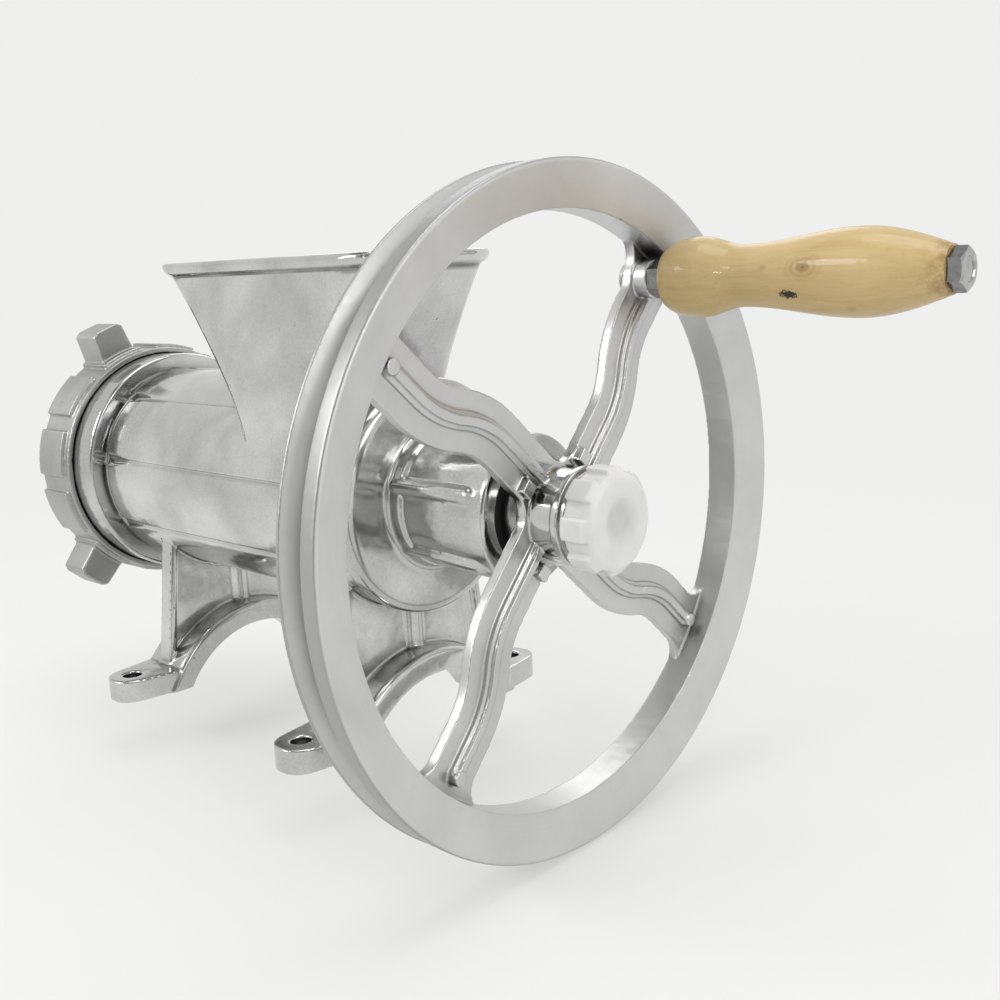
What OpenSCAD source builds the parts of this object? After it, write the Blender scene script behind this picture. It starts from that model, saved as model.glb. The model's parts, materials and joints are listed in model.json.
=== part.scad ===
// A large hand-cranked meat grinder that bolts down at the edge of a bench.
// X runs along the barrel towards the crank and Z is up. The origin is the middle
// of the four foot bolts, on the bench. Sizes are in millimetres and degrees.

/* [Stance] */
// Height of the barrel's axis above the bench
axis_h = 107; // [102:0.5:120]
// Distance between foot bolts along the barrel
foot_dx = 136; // [120:1:144]
// Distance between foot bolts across the barrel
foot_dy = 133; // [124:1:150]
// Diameter of a foot's bolt hole
foot_hole_d = 9; // [6:0.5:12]
// Radius of a foot's round end
foot_r = 11.5; // [10:0.5:15]
// Thickness of a foot
foot_t = 11; // [8:0.5:14]

/* [Legs] */
// Width of a leg's arch band along the barrel
leg_w = 31; // [28:0.5:36]
// Half of the clear span under a leg's arch, on the bench
arch_half = 42; // [36:1:46]
// Height of the arch's underside at its crown
arch_rise = 24; // [20:1:32]
// Thickness of the arch band
arch_t = 11; // [8:0.5:14]
// Rounding of the arch band's upper edges
arch_edge_r = 2.5; // [1:0.5:5]
// Thickness of the wall between arch band and barrel
leg_wall_t = 5; // [4:0.5:12]
// Width of the wall's upright borders, along the barrel
leg_border_w = 8.5; // [7:0.5:20]
// Thickness of the wall's upright borders
leg_border_t = 4; // [3:0.5:9]
// Distance of a border's outer side from the middle, level with the axis
leg_top_y = 36; // [32:0.5:42]
// Distance of a border's outer side from the middle, on the foot
leg_foot_y = 48; // [44:0.5:54]
// Diameter of the upright rib in the middle of the wall
leg_rib_d = 11; // [9:0.5:18]

/* [Barrel] */
// Diameter over the barrel's raised panels
barrel_d = 102; // [99:0.5:108]
// Depth of the grooves between the raised panels
panel_groove = 1.2; // [0.5:0.1:2]
// Width of the grooves between the raised panels
panel_groove_w = 2.6; // [2:0.1:6]
// Length of the flare at a groove's front end
panel_flare = 22; // [10:1:40]
// How much deeper a groove is at its front end
panel_flare_h = 1.8; // [0.5:0.1:2.5]
// Number of raised panels
panel_n = 9; // [6:1:12]
// Diameter of the barrel's bore
bore_d = 88; // [82:0.5:90]
// Distance from the middle of the feet to the barrel's rear face
barrel_rear = 90.5; // [86:0.5:100]
// Thickness of the barrel's rear wall
rear_wall_t = 7; // [5:0.5:9]
// Diameter of the rear wall's disc
rear_disc_d = 104; // [103:0.5:112]
// Rounding of the rear disc's edge
rear_edge_r = 5; // [2:0.5:6]
// Diameter of the collar that carries the ring nut
collar_d = 117; // [114:0.5:124]
// Distance from the middle of the feet to the collar's front
collar_front = 141.5; // [136:0.5:150]
// Length of the collar
collar_len = 38.5; // [28:0.5:42]
// Width of the recess between collar and panels
recess_w = 2; // [2:0.5:8]
// Depth of that recess below the panels
recess_depth = 2.5; // [1:0.5:3]

/* [Neck] */
// Length of the bearing neck behind the rear wall
neck_len = 55.5; // [48:0.5:70]
// Diameter of the neck at the rear wall
neck_base_d = 57; // [54:0.5:60]
// Diameter of the neck at its end
neck_end_d = 62.5; // [58:0.5:66]
// Rounding between the rear wall and the neck
neck_fillet_r = 3; // [1:0.5:6]
// Length of the raised band at the neck's root
neck_band_w = 8; // [6:0.5:12]
// Height of that band
neck_band_h = 1.5; // [0.5:0.5:3]
// Number of ribs along the neck
neck_rib_n = 6; // [4:1:8]
// Diameter of a rib along the neck
neck_rib_d = 8; // [5:0.5:10]
// Angle of the first rib from the +Y side
neck_rib_deg = 41; // [0:1:90]
// Outside diameter of the bearing bush
bush_d = 46; // [38:0.5:48]
// Thickness of the bush's inner flange
bush_flange_t = 3; // [2:0.5:4]
// Diameter of the bush's inner flange
bush_flange_d = 56; // [50:0.5:62]
// Thickness of the shaft's seal in the neck's mouth
seal_t = 5; // [3:0.5:8]
// How far the seal lies inside the neck's mouth
seal_inset = 1; // [0.5:0.5:3]

/* [Hopper] */
// Length of the hopper's mouth along the barrel
mouth_l = 170; // [140:1:190]
// Width of the hopper's mouth across the barrel
mouth_w = 80; // [70:1:90]
// Height of the hopper's rim above the barrel's axis
mouth_h = 105; // [90:1:125]
// Corner radius of the mouth
mouth_corner_r = 20; // [15:1:34]
// Length of the hopper where it meets the barrel
throat_l = 47; // [36:1:60]
// Width of the hopper where it meets the barrel
throat_w = 92; // [88:0.5:96]
// Height of the throat above the barrel's axis
throat_h = 20; // [16:0.5:26]
// Corner radius of the throat
throat_corner_r = 14; // [8:1:16]
// Middle of the mouth along the barrel
mouth_x = 20; // [10:0.5:30]
// Middle of the throat along the barrel
throat_x = 31; // [25:0.5:40]
// How strongly the hopper flares towards its mouth
flare = 1.35; // [1:0.05:2]
// Thickness of the hopper's wall
hopper_wall = 5; // [4:0.5:7]
// Height of the thickened rim
rim_h = 6; // [3:0.5:8]
// How far the rim stands out from the wall
rim_out = 2.5; // [1:0.5:4]

/* [Feed screw] */
// Gap between the screw's flight and the bore
screw_gap = 1; // [0.5:0.1:2]
// Diameter of the screw's core at its rear
core_d = 46; // [42:0.5:50]
// Diameter of the screw's core at the knife
core_front_d = 40; // [36:0.5:46]
// Pitch of the flight
screw_pitch = 56; // [45:1:70]
// Thickness of the flight at the core
flight_root_t = 11; // [8:0.5:14]
// Thickness of the flight at its edge
flight_tip_t = 6; // [4:0.5:8]
// Diameter of the drive shaft
shaft_d = 30; // [26:0.5:32]
// How far the shaft reaches into the screw
shaft_grip = 60; // [40:1:90]
// Diameter of the pin that holds the shaft in the screw
pin_d = 6; // [4:0.5:8]
// Distance of that pin from the screw's rear face
pin_in = 24; // [15:1:35]
// Thickness of the thrust washer
thrust_t = 2; // [1:0.5:3]

/* [Knife and plate] */
// Diameter of the grinding plate
plate_d = 99; // [96:0.5:102]
// Thickness of the grinding plate
plate_t = 9; // [7:0.5:11]
// Diameter of the plate's holes
plate_hole_d = 8; // [4:0.5:8.5]
// Number of rings of holes in the plate
plate_rings = 4; // [3:1:4]
// How far the plate stands out of the collar
plate_proud = 1.7; // [1:0.1:3]
// Diameter across the knife's blades
knife_d = 84; // [70:0.5:85]
// Thickness of the knife
knife_t = 10; // [8:0.5:13]
// Diameter of the knife's hub
knife_hub_d = 34; // [30:0.5:40]
// Width of a knife's blade at its root
blade_w = 15; // [10:0.5:17]
// Size of the stud's square that drives the knife
stud_square = 18; // [14:0.5:20]
// Diameter of the stud's pin in the plate
stud_pin_d = 15.6; // [12:0.1:17]
// Diameter of the stud's threaded shank in the screw
stud_shank_d = 16; // [12:0.5:20]
// Length of the stud's shank
stud_shank_len = 26; // [18:1:34]
// Diameter of the pin that keys the plate
key_d = 5; // [4:0.5:6]
// Length of that pin in the collar's wall
key_grip = 8; // [5:0.5:12]

/* [Ring nut] */
// Diameter over the ring nut's lands
ring_d = 127; // [124:0.5:136]
// Width of the ring nut along the barrel
ring_w = 28; // [25:0.5:32]
// Thickness of the ring nut's lip over the plate
ring_lip = 4.7; // [3:0.1:6]
// Diameter of the ring nut's mouth
ring_mouth_d = 92; // [86:0.5:95]
// Number of lands round the ring nut
land_n = 12; // [8:1:16]
// Height of the lands
land_h = 2; // [1:0.5:2.5]
// Part of the pitch that a land takes
land_part = 0.74; // [0.4:0.02:0.8]
// Number of lugs
lug_n = 3; // [2:1:4]
// Distance of a lug's top from the axis
lug_r = 78.5; // [72:0.5:88]
// Width of a lug round the ring
lug_w = 20; // [16:0.5:28]
// Length of a lug along the barrel
lug_l = 20; // [14:0.5:24]
// Angle of the first lug from the +Y side
lug_deg = 110; // [0:1:120]

/* [Flywheel] */
// Diameter of the flywheel
wheel_d = 270; // [260:1:300]
// Width of the flywheel's rim
rim_w = 20; // [18:0.5:26]
// Radial depth of the rim
rim_depth = 18; // [15:0.5:22]
// How far the rim's front face falls back towards its inner edge
rim_dish = 6; // [1:0.5:8]
// Width of the rim's belt groove
groove_w = 11; // [8:0.5:13]
// Depth of the belt groove
groove_depth = 8; // [5:0.5:10]
// Width of the belt groove's floor
groove_floor = 3; // [2:0.5:5]
// Width of the rim's rear land
rear_land = 2; // [1:0.5:3]
// Width of a spoke
spoke_w = 23; // [18:0.5:28]
// Thickness of the spokes' web
spoke_t = 4.5; // [3:0.5:6]
// Width of the rib along a spoke
spoke_rib_w = 7; // [6:0.5:12]
// Height of the rib along a spoke
spoke_rib_h = 3.5; // [2:0.5:5]
// Side step of a spoke at the hub
spoke_in = -3.5; // [-6:0.5:2]
// Side step of a spoke at the rim
spoke_out = 10; // [6:0.5:14]
// Distance from the axis where a spoke's bend starts
bend_from = 45; // [40:1:52]
// Distance from the axis where a spoke's bend ends
bend_to = 92; // [84:1:100]
// Rounding where spokes meet hub and rim
spoke_fillet_r = 9; // [4:0.5:11]
// Diameter of the hub
hub_d = 37.5; // [32:0.5:38]
// Length of the hub
hub_len = 26.8; // [20:0.2:30]
// How far the hub reaches behind the web
hub_back = 7.3; // [5:0.1:10]
// Diameter of the hub's front flange
hub_flange_d = 41; // [39:0.5:48]
// Thickness of the hub's front flange
hub_flange_t = 3; // [2:0.5:4]
// Gap between the neck's end and the hub
hub_gap = 1.2; // [0.6:0.1:2]
// Angle of the first spoke from the +Y side when the crank is at rest
crank_deg = 47.5; // [0:0.5:90]
// Size of the shaft's square in the hub
drive_square = 20; // [16:0.5:20.5]
// Diameter of the shaft's threaded end
thread_d = 18; // [14:0.5:19]
// Length of the shaft's threaded end
thread_len = 11; // [10:0.5:14]

/* [Hub nut] */
// Diameter of the hub washer
washer_d = 38; // [32:0.5:40]
// Thickness of the hub washer
washer_t = 2; // [1:0.5:3]
// Diameter over the hub nut's lobes
nut_d = 42.5; // [40:0.5:50]
// Length of the hub nut
nut_len = 13.5; // [13:0.5:20]
// Number of lobes of the hub nut
nut_lobes = 8; // [5:1:10]
// Height of the lobes
nut_lobe_h = 2; // [1:0.5:3]
// Part of the pitch that a lobe takes
nut_lobe_part = 0.56; // [0.4:0.02:0.7]
// Diameter of the dish in the hub nut's face
nut_dish_d = 20; // [18:0.5:28]
// Depth of that dish
nut_dish = 2; // [1:0.5:3]

/* [Handle] */
// Distance of the handle's axis from the rim's inner edge
handle_in = 9.5; // [8.5:0.5:14]
// Side step of the handle's axis from the spoke's own line
handle_side = 16; // [10:0.5:20]
// Diameter of the boss that carries the handle
boss_d = 16; // [15:0.5:20]
// Height of that boss in front of the web
boss_h = 6.5; // [6:0.5:12]
// Height of that boss behind the web
boss_back = 4; // [3:0.5:6]
// Diameter of the handle's bolt
bolt_d = 8; // [6:0.5:9]
// Width of the bolt's head and of its nut across the flats
bolt_head_w = 14; // [13:0.5:16]
// Height of the bolt's head
bolt_head_h = 5.3; // [4:0.1:7]
// Height of the lock nut
lock_nut_h = 6.5; // [5:0.5:9]
// Thickness of the washer at the handle's base
handle_washer_t = 1.2; // [1:0.2:2.4]
// Diameter of the washer at the handle's base
base_washer_d = 16; // [14.5:0.5:16.5]
// Outside diameter of the sleeve that the grip turns on
sleeve_d = 11; // [10.5:0.5:12]
// Length of the wooden grip
grip_len = 115; // [100:1:130]
// Diameter of the grip's foot
grip_foot_d = 22; // [17:0.5:26]
// Diameter of the grip's lower swell
grip_low_d = 32; // [28:0.5:34]
// Diameter of the grip's waist
grip_waist_d = 24; // [20:0.5:28]
// Diameter of the grip's upper swell
grip_high_d = 33; // [28:0.5:40]
// Diameter of the grip's end
grip_end_d = 17.5; // [16:0.5:24]

/* [Fits] */
// Gap all round where a still piece sits in another
seat_gap = 0.05; // [0.02:0.01:0.1]
// Gap all round where one piece turns in another
run_gap = 0.1; // [0.05:0.01:0.2]
// Gap between pieces that move past each other
move_gap = 0.3; // [0.2:0.05:0.5]

/* [Hidden] */
$fn = 96;
// A cut reaches this far past the face that it opens
past = 1;
// Small bevel on turned edges
bevel = 1;

// Stations along the barrel, from the ring nut to the end of the handle
plate_front_x = -collar_front - plate_proud;
plate_rear_x = plate_front_x + plate_t;
seat_x = plate_rear_x + move_gap;
knife_rear_x = seat_x + knife_t;
ring_front_x = plate_front_x - run_gap - ring_lip;
ring_rear_x = ring_front_x + ring_w;
collar_rear_x = -collar_front + collar_len;
panel_x = collar_rear_x + recess_w;
wall_x = barrel_rear - rear_wall_t;
flange_x = wall_x - bush_flange_t;
screw_rear_x = flange_x - move_gap - thrust_t;
neck_end_x = barrel_rear + neck_len;
seal_rear_x = neck_end_x - seal_inset;
seal_x = seal_rear_x - seal_t;
hub_rear_x = neck_end_x + hub_gap;
web_x = hub_rear_x + hub_back;
web_front_x = web_x + spoke_t;
rim_front_x = web_x + rim_w;
hub_front_x = hub_rear_x + hub_len;
nut_x = hub_front_x + washer_t + 2*run_gap;
thread_x = hub_front_x - bevel;
thread_end_x = thread_x + thread_len;
boss_front_x = web_front_x + boss_h;
boss_rear_x = web_x - boss_back;
lock_front_x = boss_front_x + lock_nut_h;
sleeve_x = lock_front_x + handle_washer_t;
grip_x = sleeve_x + move_gap;
grip_end_x = grip_x + grip_len;
sleeve_end_x = grip_end_x + move_gap;
bolt_end_x = sleeve_end_x + bolt_head_h;

// Radii that several pieces share
bore_r = bore_d/2;
barrel_r = barrel_d/2;
collar_r = collar_d/2;
seat_r = plate_d/2 + move_gap;
shaft_r = shaft_d/2;
screw_r = bore_r - screw_gap;
ring_bore_r = collar_r + move_gap;
ring_core_r = ring_d/2 - land_h;
wheel_r = wheel_d/2;
rim_inner_r = wheel_r - rim_depth;
rim_floor_r = wheel_r - groove_depth;
handle_r = rim_inner_r - handle_in;

// The arch under a leg is part of a circle about a point below the bench
arch_r = (arch_half*arch_half + arch_rise*arch_rise)/(2*arch_rise);
arch_z = arch_rise - arch_r;

// The handle's axis, from the flywheel's axis
handle_deg = crank_deg + asin(handle_side/handle_r);
handle_y = handle_r*cos(handle_deg);
handle_z = handle_r*sin(handle_deg);

// Points along an arc about a centre, from one angle to another
function arc(centre, r, from, to, steps) = [for (i = [0:steps])
    let (a = from + (to - from)*i/steps) centre + r*[cos(a), sin(a)]];

// Places a shape on the barrel's axis: its own X lies across, its Y up and its Z along the barrel
module on_axis(x = 0) translate([x, 0, axis_h]) rotate([90, 0, 90]) children();

// A turned piece about the barrel's axis, from points of radius and station
module turned(points) on_axis() rotate_extrude() polygon(points);

// A plain ring about the barrel's axis
module ring(d_in, d_out, x0, x1) turned([[d_in/2, x0], [d_out/2, x0], [d_out/2, x1], [d_in/2, x1]]);

// A plain rod about the barrel's axis
module rod(d, x0, x1) on_axis(x0) cylinder(d = d, h = x1 - x0);

// A hexagonal prism about the barrel's axis, measured across its flats
module hexagon(across_flats, x0, x1) on_axis(x0) rotate(90)
    cylinder(d = across_flats/cos(30), h = x1 - x0, $fn = 6);

// Moves a piece from the barrel's axis to the handle's
module at_handle() translate([0, handle_y, handle_z]) children();

// Extrudes an upright outline along the barrel, half to each side
module across(w) translate([-w/2, 0, 0]) rotate([90, 0, 90]) linear_extrude(w) children();

// A slice of the plane about the origin
module wedge(deg, r) polygon([
    [0, 0], [r*cos(deg/2), -r*sin(deg/2)], [r, 0], [r*cos(deg/2), r*sin(deg/2)]]);

// A closed skin over a stack of rings that have equal numbers of points
module loft(rings) {
    n = len(rings[0]);
    last = len(rings) - 1;
    sides = [for (k = [0:last - 1], i = [0:n - 1])
        let (j = (i + 1) % n, low = k*n, high = low + n)
        each [[low + i, high + i, high + j], [low + i, high + j, low + j]]];
    floor_cap = [for (i = [0:n - 1]) i];
    top_cap = [for (i = [n - 1:-1:0]) last*n + i];
    polyhedron(points = [for (r = rings) each r], faces = concat(sides, [floor_cap, top_cap]));
}

// The hopper's plan at a share of the way up from its throat, grown by an amount
corner_steps = 7;
function hopper_ring(share, grow, z) =
    let (
        up = pow(share, flare),
        l = (throat_l + (mouth_l - 2*rim_out - throat_l)*up)/2 + grow,
        w = (throat_w + (mouth_w - 2*rim_out - throat_w)*share)/2 + grow,
        r = throat_corner_r + (mouth_corner_r - throat_corner_r)*share + grow,
        x = throat_x + (mouth_x - throat_x)*up)
    [for (q = [0:3], p = arc([0, 0], r, 90*q, 90*q + 90, corner_steps))
        [x + p[0] + (q == 0 || q == 3 ? 1 : -1)*(l - r), p[1] + (q < 2 ? 1 : -1)*(w - r), z]];
function hopper_z(share) = axis_h + throat_h + (mouth_h - throat_h)*share;
flare_steps = 8;
rim_share = 1 - rim_h/(mouth_h - throat_h);
lip_steps = 6;

module hopper_outside() loft(concat(
    [hopper_ring(0, 0, axis_h)],
    [for (i = [0:flare_steps]) let (s = rim_share*i/flare_steps) hopper_ring(s, 0, hopper_z(s))],
    [for (i = [1:lip_steps]) let (a = 180*i/lip_steps - 90, s = 1 - (1 - rim_share)*(1 - sin(a))/2)
        hopper_ring(s, rim_out*cos(a), hopper_z(s))]));

module hopper_inside() loft(concat(
    [hopper_ring(0, -hopper_wall, axis_h)],
    [for (i = [0:flare_steps]) let (s = i/flare_steps) hopper_ring(s, -hopper_wall, hopper_z(s))],
    [hopper_ring(1, -hopper_wall, hopper_z(1) + past)]));

// One foot of a leg, whose sides widen from the round end to the arch band, with its hole cut later
module foot(side) {
    translate([0, side*foot_dy/2, 0]) cylinder(r = foot_r, h = foot_t);
    wide = leg_w/2;
    run = foot_dy/2 - arch_half;
    turn = acos(foot_r/norm([wide, run])) - atan2(run, wide);
    touch = [foot_r*cos(turn), foot_dy/2 + foot_r*sin(turn)];
    inner = arch_half/2;
    linear_extrude(foot_t) scale([1, side]) polygon([touch, [wide, arch_half], [wide, inner], [-wide, inner],
        [-wide, arch_half], [-touch[0], touch[1]]]);
}

// The outer side of a leg's wall at a height
function leg_y(z) = leg_foot_y + (leg_top_y - leg_foot_y)*(z - foot_t)/(axis_h - foot_t);

module leg() {
    band_r = arch_r + arch_t;
    half = leg_w/2;
    round_at = [band_r - arch_edge_r, half - arch_edge_r];
    wall_z = foot_t/2;
    difference() {
        union() {
            intersection() {
                translate([0, 0, arch_z]) rotate([0, 90, 0]) rotate_extrude() polygon(concat(
                    [[0, -half]],
                    arc([round_at[0], -round_at[1]], arch_edge_r, -90, 0, 4),
                    arc(round_at, arch_edge_r, 0, 90, 4),
                    [[0, half]]));
                translate([-leg_w, -foot_dy, 0]) cube([2*leg_w, 2*foot_dy, axis_h]);
            }
            for (side = [-1, 1]) foot(side);
            across(leg_wall_t) polygon([[-leg_y(wall_z), wall_z], [leg_y(wall_z), wall_z],
                [leg_top_y, axis_h], [-leg_top_y, axis_h]]);
            for (side = [-1, 1]) across(leg_border_w) polygon([
                [side*leg_y(wall_z), wall_z], [side*(leg_y(wall_z) - leg_border_t), wall_z],
                [side*(leg_top_y - leg_border_t), axis_h], [side*leg_top_y, axis_h]]);
            translate([0, 0, arch_rise]) cylinder(d = leg_rib_d, h = axis_h - arch_rise);
        }
        translate([-half - past, 0, arch_z]) rotate([0, 90, 0]) cylinder(r = arch_r, h = leg_w + 2*past);
        for (side = [-1, 1]) translate([0, side*foot_dy/2, -past])
            cylinder(d = foot_hole_d, h = foot_t + 2*past);
    }
}

// Outside of the barrel, its collar, its rear disc and its neck
module barrel_outside() {
    recess_r = barrel_r - recess_depth;
    disc_r = rear_disc_d/2;
    base_r = neck_base_d/2;
    band_r = base_r + neck_band_h;
    end_r = neck_end_d/2;
    turned(concat(
        [[0, -collar_front], [collar_r - bevel, -collar_front], [collar_r, -collar_front + bevel]],
        [[collar_r, collar_rear_x - bevel], [collar_r - bevel, collar_rear_x]],
        [[recess_r + bevel, collar_rear_x], [recess_r, collar_rear_x + bevel], [recess_r, panel_x]],
        arc([barrel_r - recess_depth, panel_x + recess_depth], recess_depth, -90, 0, 4),
        [[barrel_r, flange_x], [disc_r, flange_x + bevel]],
        arc([disc_r - rear_edge_r, barrel_rear - rear_edge_r], rear_edge_r, 0, 90, 6),
        arc([band_r + neck_fillet_r, barrel_rear + neck_fillet_r], neck_fillet_r, 270, 180, 5),
        [[band_r, barrel_rear + neck_band_w - bevel], [band_r - bevel, barrel_rear + neck_band_w]],
        [[base_r, barrel_rear + neck_band_w]],
        [[end_r, neck_end_x - bevel], [end_r - bevel, neck_end_x], [0, neck_end_x]]));
}

// Half-round grooves that part the barrel's outside into raised panels and flare at their front end
module panel_grooves() {
    groove_r = (panel_groove_w*panel_groove_w/4 + panel_groove*panel_groove)/(2*panel_groove);
    for (i = [0:panel_n - 1]) on_axis(panel_x - past) rotate(90 + i*360/panel_n)
        translate([barrel_r + groove_r - panel_groove, 0, 0]) {
            cylinder(r = groove_r, h = flange_x - panel_x + past);
            cylinder(r1 = groove_r + panel_flare_h, r2 = groove_r, h = panel_flare);
        }
}

// Ribs along the neck, which follow its taper and end in a blunt point
module neck_ribs() {
    rise = (neck_end_d - neck_base_d)/2;
    slope = atan(rise/neck_len);
    tip = neck_rib_d/2;
    rib_len = neck_len - 2*tip;
    for (i = [0:neck_rib_n - 1]) on_axis(barrel_rear - bevel) rotate(neck_rib_deg + i*360/neck_rib_n)
        translate([neck_base_d/2 - neck_rib_d/4, 0, 0]) rotate([0, slope, 0]) {
            cylinder(d = neck_rib_d, h = rib_len);
            translate([0, 0, rib_len]) cylinder(d1 = neck_rib_d, d2 = neck_rib_d/2, h = tip);
        }
}

module body_casting() color("lightgray") difference() {
    union() {
        difference() {
            barrel_outside();
            panel_grooves();
        }
        neck_ribs();
        hopper_outside();
        for (side = [-1, 1]) translate([side*foot_dx/2, 0, 0]) leg();
    }
    turned([[0, -collar_front - past], [seat_r, -collar_front - past], [seat_r, seat_x], [bore_r, seat_x],
        [bore_r, wall_x], [bush_d/2, wall_x], [bush_d/2, neck_end_x + past], [0, neck_end_x + past]]);
    hopper_inside();
    plate_key_place() rod(key_d + 2*seat_gap, -collar_front - past, seat_x + key_grip + seat_gap);
}

// The long bush that the shaft turns in, with a thrust flange inside the barrel
module neck_bush() color("#202020") turned([
    [shaft_r + run_gap, flange_x], [bush_flange_d/2, flange_x], [bush_flange_d/2, wall_x - seat_gap],
    [bush_d/2 - seat_gap, wall_x - seat_gap], [bush_d/2 - seat_gap, seal_x - seat_gap],
    [shaft_r + run_gap, seal_x - seat_gap]]);

// The ring that keeps grease in, behind the bush
module neck_seal() color("#202020") ring(shaft_d + 2*run_gap, bush_d - 2*seat_gap, seal_x, seal_rear_x);

// The pin at the bottom of the plate's seat
module plate_key_place() translate([0, 0, -seat_r]) children();
module plate_key() color("silver") plate_key_place() rod(key_d, -collar_front + bevel, seat_x + key_grip);

// The core tapers to the knife, and one flight winds round it
module feed_screw() color("darkgray") {
    flight_len = screw_rear_x - knife_rear_x - flight_root_t;
    turns = flight_len/screw_pitch;
    steps = ceil(24*turns);
    root_r = core_front_d/2 - bevel;
    start_x = knife_rear_x + flight_root_t/2;
    section = [[root_r, -flight_root_t/2], [screw_r, -flight_tip_t/2], [screw_r, flight_tip_t/2],
        [root_r, flight_root_t/2]];
    difference() {
        union() {
            turned([[0, knife_rear_x], [core_front_d/2, knife_rear_x], [core_d/2, screw_rear_x],
                [0, screw_rear_x]]);
            on_axis(start_x) loft([for (i = [0:steps]) let (a = -360*turns*i/steps)
                [for (p = section) [p[0]*cos(a), p[0]*sin(a), p[1] + flight_len*i/steps]]]);
        }
        rod(shaft_d + 2*seat_gap, screw_rear_x - shaft_grip, screw_rear_x + past);
        rod(stud_shank_d + 2*seat_gap, knife_rear_x - past, knife_rear_x + stud_shank_len);
        cross_pin(pin_d + 2*seat_gap, core_d);
    }
}

// A pin straight through the screw and its shaft
module cross_pin(d, len) translate([screw_rear_x - pin_in, 0, axis_h]) rotate([90, 0, 0])
    cylinder(d = d, h = len, center = true);
module shaft_pin() color("silver") cross_pin(pin_d, core_front_d);

// The stud has a shank in the screw, a square for the knife and a pin for the plate
module knife_stud() color("silver") {
    rod(stud_shank_d, knife_rear_x, knife_rear_x + stud_shank_len - seat_gap);
    on_axis(seat_x) translate([-stud_square/2, -stud_square/2, 0])
        cube([stud_square, stud_square, knife_t]);
    rod(stud_pin_d, plate_front_x, seat_x);
}

// The shaft runs through the neck, drives the flywheel by a square and ends in a thread
module drive_shaft() color("silver") {
    difference() {
        rod(shaft_d, screw_rear_x - shaft_grip, hub_rear_x);
        cross_pin(pin_d + 2*seat_gap, core_d);
    }
    on_axis(hub_rear_x) translate([-drive_square/2, -drive_square/2, 0])
        cube([drive_square, drive_square, thread_x - hub_rear_x]);
    rod(thread_d, thread_x, thread_end_x);
}

module thrust_washer() color("silver")
    ring(shaft_d + 2*seat_gap, core_d, screw_rear_x, screw_rear_x + thrust_t);

// Four blades, whose edges stand a little proud of the hub on the plate's side
module knife() color("silver") {
    lead = blade_w/4;
    trail = blade_w - lead;
    root = trail + bevel;
    tip = sqrt(knife_d*knife_d/4 - lead*lead);
    hole = stud_square + 2*seat_gap;
    difference() {
        on_axis(seat_x) union() {
            translate([0, 0, bevel]) cylinder(d = knife_hub_d, h = knife_t - bevel);
            for (i = [0:3]) rotate(45 + 90*i) linear_extrude(knife_t - 2*bevel) polygon([
                [root, lead], [tip, lead], [tip, -lead], [knife_hub_d/2, -trail], [root, -trail]]);
        }
        on_axis(seat_x - past) translate([-hole/2, -hole/2, 0]) cube([hole, hole, knife_t + 2*past]);
    }
}

// The rim has a belt groove outside and a face that falls back inwards
module rim() turned([
    [rim_inner_r, web_x], [wheel_r - bevel, web_x], [wheel_r, web_x + bevel], [wheel_r, web_x + rear_land],
    [rim_floor_r, web_x + rear_land + (groove_w - groove_floor)/2],
    [rim_floor_r, web_x + rear_land + (groove_w + groove_floor)/2],
    [wheel_r, web_x + rear_land + groove_w], [wheel_r, rim_front_x - bevel], [wheel_r - bevel, rim_front_x],
    [rim_inner_r, rim_front_x - rim_dish]]);

// The plan of one spoke: two straights that two equal arcs join
bend_run = bend_to - bend_from;
bend_side = spoke_out - spoke_in;
bend_r = (bend_run*bend_run + bend_side*bend_side)/(4*bend_side);
bend_deg = 2*atan(bend_side/bend_run);
bend_steps = 10;
function spoke_side(offset, end) = concat(
    [[0, spoke_in + offset]],
    arc([bend_from, spoke_in + bend_r], bend_r - offset, -90, bend_deg - 90, bend_steps),
    arc([bend_to, spoke_out - bend_r], bend_r + offset, 90 + bend_deg, 90, bend_steps),
    [[end, spoke_out + offset]]);
function reversed(list) = [for (i = [len(list) - 1:-1:0]) list[i]];
module spoke_plan(w, end) polygon(concat(spoke_side(-w/2, end), reversed(spoke_side(w/2, end))));

module each_spoke() for (i = [0:3]) rotate(crank_deg + 90*i) children();

// Where the handle's boss stands on the first spoke's plan
module boss_place() rotate(handle_deg) translate([handle_r, 0]) children();

// The web of the wheel, with rounded corners between spokes, hub and rim
module web_plan() {
    rim_lap_r = rim_floor_r - bevel;
    offset(r = -spoke_fillet_r, $fn = 48) offset(delta = spoke_fillet_r) union() {
        difference() {
            circle(r = rim_lap_r);
            circle(r = rim_inner_r + bevel);
        }
        each_spoke() spoke_plan(spoke_w, rim_inner_r + 2*bevel);
        circle(d = hub_flange_d);
        boss_place() circle(d = boss_d + 2*bevel);
    }
}

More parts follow.
